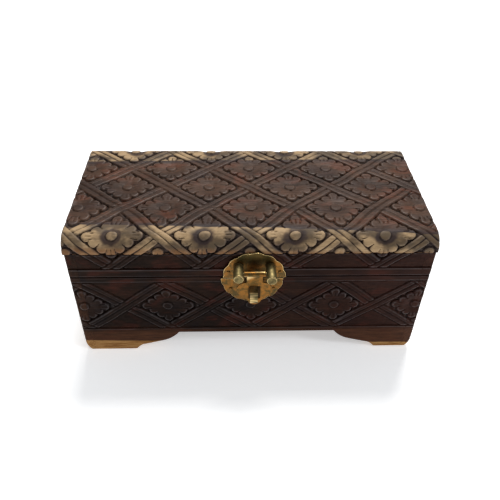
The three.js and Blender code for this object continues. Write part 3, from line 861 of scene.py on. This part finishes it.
def dark_wood(name, grain, dark, middle):
    """Nearly black wood, redder to the right, browner below, and with pale sapwood at the feet."""
    shader = Shader(name)
    red_patch = tint(62, 27, 19)
    grey_patch = tint(24, 18, 20)
    brown = tint(88, 55, 36)
    # painted shade colour for deep carving and creases
    hollow_shade = tint(7, 4, 3)
    # wear and painted highlight colour for ridges
    wear_and_highlight = tint(70, 58, 60)
    colour, streaks, pores = wood_tones(shader, grain, dark, middle, red_patch, grey_patch)
    redder = shader.ramp(shader.x, REDDER_FROM, REDDER_TO, 0, 0.45)
    colour = shader.mix(redder, colour, shader.mix(streaks, tint(24, 14, 13), tint(70, 36, 28)))
    low = shader.ramp(shader.z, BROWNER_FROM, BROWNER_TO)
    browner = shader.math("MULTIPLY", low, shader.ramp(streaks, 0.3, 0.7, 0.25, 0.75))
    colour = shader.mix(browner, colour, brown)
    edge = shader.math("MULTIPLY", shader.noise(9, (3, 1, 1), shift=5), 2.0)  # the sapwood's wavering edge
    foot_line = shader.math("ADD", shader.math("MULTIPLY", shader.x, FOOT_PALE_LEAN), FOOT_PALE_TOP)
    height = shader.math("SUBTRACT", shader.math("ADD", shader.z, edge), foot_line)
    pale = shader.mix(shader.ramp(streaks, 0.35, 0.65), tint(128, 86, 44), tint(176, 134, 82))
    colour = shader.mix(shader.ramp(height, 0.6, -0.4), colour, pale)
    return finish_wood(shader, colour, streaks, pores, hollow_shade, wear_and_highlight, ridge_lightening=0.32, shine=0.38, gloss=0.04)


def banded_wood():
    """The lid's top: brown heartwood between two pale bands of sapwood."""
    shader = Shader("banded_wood")
    dark = tint(52, 36, 27)
    middle = tint(78, 56, 43)
    red_patch = tint(100, 56, 38)
    grey_patch = tint(64, 50, 46)
    shadow_line = tint(54, 46, 46)
    # painted shade colour for deep carving and creases
    hollow_shade = tint(22, 14, 9)
    # wear and painted highlight colour for ridges
    wear_and_highlight = tint(112, 86, 68)
    colour, streaks, pores = wood_tones(shader, 0, dark, middle, red_patch, grey_patch)
    edge = shader.math("MULTIPLY", shader.noise(14, (3, 1, 1), shift=5), 2.0)  # the bands' wavering edges
    bow = shader.math("MULTIPLY", shader.math("MULTIPLY", shader.x, shader.x), FRONT_BAND_BOW)
    front_lean = shader.math("MULTIPLY", shader.x, FRONT_BAND_LEAN)
    front_line = shader.math("ADD", front_lean, shader.math("ADD", bow, FRONT_BAND_EDGE))
    to_front = shader.math("SUBTRACT", shader.math("ADD", shader.y, edge), front_line)
    back_line = shader.math("ADD", shader.math("MULTIPLY", shader.x, BACK_BAND_LEAN), BACK_BAND_EDGE)
    to_back = shader.math("SUBTRACT", shader.math("ADD", shader.y, edge), back_line)
    pale_patch = shader.noise(15, (1.6, 1, 1), detail=4, shift=17)
    pale = shader.mix(shader.ramp(pale_patch, 0.4, 0.6), tint(92, 78, 62), tint(176, 148, 112))
    pale = shader.mix(shader.ramp(streaks, 0.4, 0.7, 0, 0.45), pale, tint(108, 84, 60))
    low = shader.math("ADD", shader.z, shader.math("MULTIPLY", shader.x, -BAND_LOW_LEAN))
    pale = shader.mix(shader.ramp(low, BAND_LOW_FROM, BAND_LOW_TO, 0, 0.65), pale, tint(122, 80, 44))
    colour = shader.mix(shader.ramp(to_front, 5.0, 0.5, 0, 0.7), colour, shadow_line)
    colour = shader.mix(shader.ramp(to_back, -6.0, -1.0, 0, 0.6), colour, shadow_line)
    depth = shader.math("MULTIPLY", shader.layer("carve"), FLOWER_FOOT_DEPTH)
    depth = shader.math("ADD", depth, shader.math("MULTIPLY", shader.noise(16, shift=23), 1.7))
    heart = shader.mix(shader.ramp(pale_patch, 0.4, 0.6), tint(50, 40, 40), tint(74, 58, 48))
    surface = shader.mix(shader.ramp(depth, 1.1, 1.6, 0, 0.92), pale, heart)
    colour = shader.mix(shader.ramp(to_front, 0.4, -0.4), colour, surface)
    colour = shader.mix(shader.ramp(to_back, -0.8, 0.8), colour, surface)
    return finish_wood(shader, colour, streaks, pores, hollow_shade, wear_and_highlight, ridge_lightening=0.25, shine=0.5, gloss=0.1)


def grime_and_shade(shader, colour):
    """The lock plates' brass, darkened above the hasp between its posts and behind the hasp's slot: painted
    shade, with grime where the hasp and its posts keep it from being wiped.
    """
    middle = sum(corners("hasp_pin"))[0] / 2
    # painted shade with grime: above the hasp between its posts, and behind its slot
    over_hasp_shade_and_grime = tint(60, 55, 32)
    slot_shade_and_grime = tint(34, 26, 16)
    beside = shader.math("ABSOLUTE", shader.math("SUBTRACT", shader.x, middle))
    beside_hasp = shader.ramp(beside, HASP_SHADE_GRIME_CLEAR, HASP_SHADE_GRIME_FULL)
    over_hasp = shader.math("MULTIPLY", beside_hasp, shader.ramp(shader.z, HASP_SHADE_GRIME_LOW, HASP_SHADE_GRIME_HIGH))
    # painted shade and grime above the hasp
    colour = shader.mix(shader.math("MULTIPLY", over_hasp, 0.85), colour, over_hasp_shade_and_grime)
    beside_slot = shader.ramp(beside, SLOT_SHADE_GRIME_CLEAR, SLOT_SHADE_GRIME_FULL)
    in_slot = shader.math("MULTIPLY", beside_slot, shader.ramp(shader.z, SLOT_SHADE_GRIME_HIGH, SLOT_SHADE_GRIME_LOW))
    # painted shade and grime behind the hasp's slot
    return shader.mix(shader.math("MULTIPLY", in_slot, 0.9), colour, slot_shade_and_grime)


def aged_brass(name, bright, tarnish, dullness, shaded_and_grimy=False):
    """Brass with blotches of tarnish, dark pits, and edges painted bright: rubbed wear and painted rim
    highlights.
    """
    pits = tint(58, 38, 16)
    rubbed_and_lit = tint(226, 196, 138)
    shader = Shader(name)
    blotches = shader.noise(5, detail=4, roughness=0.65, distortion=0.5)
    grains = shader.noise(0.8, detail=3, roughness=0.7, shift=9)
    wear_and_highlight = shader.layer("edge")
    colour = shader.mix(shader.ramp(blotches, 0.38, 0.66), bright, tarnish)
    colour = shader.mix(shader.ramp(grains, 0.6, 0.75, 0, 0.7), colour, pits)
    if shaded_and_grimy:
        colour = grime_and_shade(shader, colour)
    # Rims lighter: rubbed wear and a painted highlight
    colour = shader.mix(shader.ramp(wear_and_highlight, 0.2, 0.9), colour, rubbed_and_lit)
    shader.put(shader.surface.inputs["Base Color"], colour)
    shader.put(shader.surface.inputs["Metallic"], 1.0)
    rough = shader.ramp(blotches, 0.35, 0.7, dullness, dullness + 0.15)
    rough = shader.math("SUBTRACT", rough, shader.math("MULTIPLY", wear_and_highlight, 0.15))
    shader.put(shader.surface.inputs["Roughness"], rough)
    relief = shader.math("ADD", blotches, shader.math("MULTIPLY", grains, 0.35))
    shader.put(shader.surface.inputs["Normal"], shader.bump(relief, 0.25, 0.6))
    return shader.material


def velvet_cloth():
    shader = Shader("velvet")
    nap = shader.noise(0.45, detail=3, roughness=0.7)
    brushed = shader.noise(18, detail=3, distortion=1.0, shift=4)
    colour = shader.mix(shader.ramp(brushed, 0.35, 0.65), tint(84, 14, 24), tint(120, 26, 38))
    colour = shader.mix(shader.ramp(nap, 0.4, 0.7, 0, 0.5), colour, tint(58, 8, 16))
    shader.put(shader.surface.inputs["Base Color"], colour)
    shader.put(shader.surface.inputs["Roughness"], 0.95)
    shader.put(shader.surface.inputs["Sheen Weight"], 0.7)
    shader.put(shader.surface.inputs["Sheen Roughness"], 0.4)
    shader.put(shader.surface.inputs["Sheen Tint"], tint(230, 130, 140))
    shader.put(shader.surface.inputs["Normal"], shader.bump(nap, 0.3, 0.6))
    return shader.material


def floor_paper():
    shader = Shader("floor_paper")
    fibres = shader.noise(3, detail=3)
    colour = shader.mix(shader.ramp(fibres, 0.3, 0.7), tint(249, 249, 249), tint(252, 252, 252))
    shader.put(shader.surface.inputs["Base Color"], colour)
    shader.put(shader.surface.inputs["Roughness"], 0.9)
    shader.put(shader.surface.inputs["Specular IOR Level"], 0.1)
    shader.put(shader.surface.inputs["Emission Color"], colour)
    shader.put(shader.surface.inputs["Emission Strength"], FLOOR_GLOW)
    return shader.material


# ---------------------------------------------------------------- camera, light and floor


def make_camera():
    """Looks down at the front from a little left of the middle."""
    yaw, pitch, roll = (math.radians(a) for a in (CAMERA_YAW, CAMERA_PITCH, CAMERA_ROLL))
    forward = Vector((math.sin(yaw) * math.cos(pitch), math.cos(yaw) * math.cos(pitch), -math.sin(pitch)))
    level = Vector((math.cos(yaw), -math.sin(yaw), 0))
    upward = level.cross(forward)
    right = level * math.cos(roll) + upward * math.sin(roll)
    upward = upward * math.cos(roll) - level * math.sin(roll)
    turn = Matrix((right, upward, -forward)).transposed()
    data = bpy.data.cameras.new("camera")
    data.sensor_width = CAMERA_SENSOR
    data.lens = CAMERA_LENS
    data.clip_start = 0.01
    camera = bpy.data.objects.new("camera", data)
    camera.matrix_world = Matrix.Translation(CAMERA_PLACE) @ turn.to_4x4()
    bpy.context.scene.collection.objects.link(camera)
    bpy.context.scene.camera = camera


def make_sun(name, elevation, azimuth, strength, softness, colour):
    """A far, soft light. Azimuth 0 is behind the box, and 90 is on its right."""
    data = bpy.data.lights.new(name, "SUN")
    data.energy = strength
    data.angle = math.radians(softness)
    data.color = colour
    lamp = bpy.data.objects.new(name, data)
    elevation, azimuth = math.radians(elevation), math.radians(azimuth)
    level = math.cos(elevation)
    source = Vector((math.sin(azimuth) * level, math.cos(azimuth) * level, math.sin(elevation)))
    lamp.rotation_euler = source.to_track_quat("Z", "Y").to_euler()
    bpy.context.scene.collection.objects.link(lamp)


def make_floor():
    bpy.ops.mesh.primitive_plane_add(size=FLOOR_SIZE, location=(0, 0, 0))
    floor = bpy.context.object
    floor.name = "floor"
    floor.data.materials.append(floor_paper())


def make_world():
    world = bpy.data.worlds.new("studio")
    world.use_nodes = True
    background = world.node_tree.nodes["Background"]
    background.inputs["Color"].default_value = (*WORLD_COLOUR, 1)
    background.inputs["Strength"].default_value = WORLD_STRENGTH
    bpy.context.scene.world = world


# ---------------------------------------------------------------- the whole scene

make_camera()
make_floor()
make_world()
for sun in SUNS:
    make_sun(*sun)
bpy.context.scene.view_settings.view_transform = "Standard"

front_wood = dark_wood("dark_wood", 0, tint(24, 14, 9), tint(40, 24, 16))
# The side boards' copy is lighter and warmer: their own tone, and a painted highlight along the box's front
# corners
side_wood = dark_wood("dark_side_wood", 1, tint(36, 22, 14), tint(58, 37, 25))
make_boards(front_wood, side_wood, banded_wood())
plate_brass = aged_brass("lock_brass", tint(132, 90, 42), tint(82, 70, 42), 0.38, shaded_and_grimy=True)
hasp_brass = aged_brass("hasp_brass", tint(136, 92, 42), tint(84, 70, 40), 0.38)
post_brass = aged_brass("pale_lock_brass", tint(128, 114, 76), tint(94, 84, 56), 0.5)
make_lock(plate_brass, hasp_brass, post_brass)
make_hinges(aged_brass("hinge_brass", tint(150, 110, 58), tint(88, 72, 42), 0.4))
velvet = velvet_cloth()
make_linings(velvet)
make_pad("velvet_floor_pad", "floor_pad", "base", velvet)
make_pad("velvet_lid_pad", "lid_lining", "lid", velvet)
